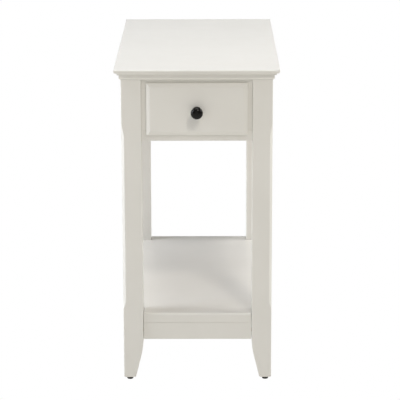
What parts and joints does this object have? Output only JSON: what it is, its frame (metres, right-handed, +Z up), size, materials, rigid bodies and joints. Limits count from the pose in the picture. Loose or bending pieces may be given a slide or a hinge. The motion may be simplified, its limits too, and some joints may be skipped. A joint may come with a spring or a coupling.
{
  "type": "side table with drawer",
  "caption": "Narrow chairside table: moulded top, lipped drawer with round knob, square legs with tapered feet, and a lower shelf.",
  "frame": {"origin": "on the floor, at the centre of the overall footprint, knob included", "axes": "+X to the right seen from the drawer side, -Y towards the person who opens the drawer, +Z up"},
  "size_m": [0.31, 0.6248, 0.61],
  "materials": {
    "white_paint": "warm white paint, satin",
    "bare_wood": "bare hardwood, sanded",
    "plywood": "bare birch plywood",
    "black_metal": "black, semi-gloss",
    "black_plastic": "black, matte",
    "steel": "zinc plated"
  },
  "bodies": {
    "table": {"top_panel": "white_paint", "moulding_front": "white_paint", "moulding_back": "white_paint", "moulding_left": "white_paint", "moulding_right": "white_paint", "leg_front_left": "white_paint", "leg_front_right": "white_paint", "leg_rear_left": "white_paint", "leg_rear_right": "white_paint", "foot_glides": "black_plastic", "glide_nails": "steel", "upper_front_rail": "white_paint", "lower_front_rail": "white_paint", "stile_left": "white_paint", "stile_right": "white_paint", "side_apron_left": "white_paint", "side_apron_right": "white_paint", "back_apron": "white_paint", "case_dowels": "bare_wood", "corner_blocks": "bare_wood", "corner_block_screws": "steel", "kicker_left": "bare_wood", "kicker_right": "bare_wood", "kicker_screws": "steel", "stop_rail": "bare_wood", "runner_left": "bare_wood", "runner_right": "bare_wood", "guide_left": "bare_wood", "guide_right": "bare_wood", "runner_dowels": "bare_wood", "shelf_panel": "white_paint", "shelf_rail_front": "white_paint", "shelf_rail_back": "white_paint", "shelf_rail_left": "white_paint", "shelf_rail_right": "white_paint", "shelf_cleat_left": "bare_wood", "shelf_cleat_right": "bare_wood", "shelf_dowels": "bare_wood", "shelf_screws": "steel"},
    "drawer": {"drawer_front": "white_paint", "drawer_side_left": "bare_wood", "drawer_side_right": "bare_wood", "drawer_back": "bare_wood", "drawer_bottom": "plywood", "drawer_dowels": "bare_wood", "drawer_back_screws": "steel", "drawer_bottom_screws": "steel", "drawer_catch": "bare_wood", "catch_screw": "steel", "knob": "black_metal", "knob_screw": "steel"}
  },
  "joints": [
    {"name": "drawer_slide", "type": "slide", "parent": "table", "child": "drawer", "axis": [0, -1, 0], "range_m": [0, 0.3]}
  ]
}
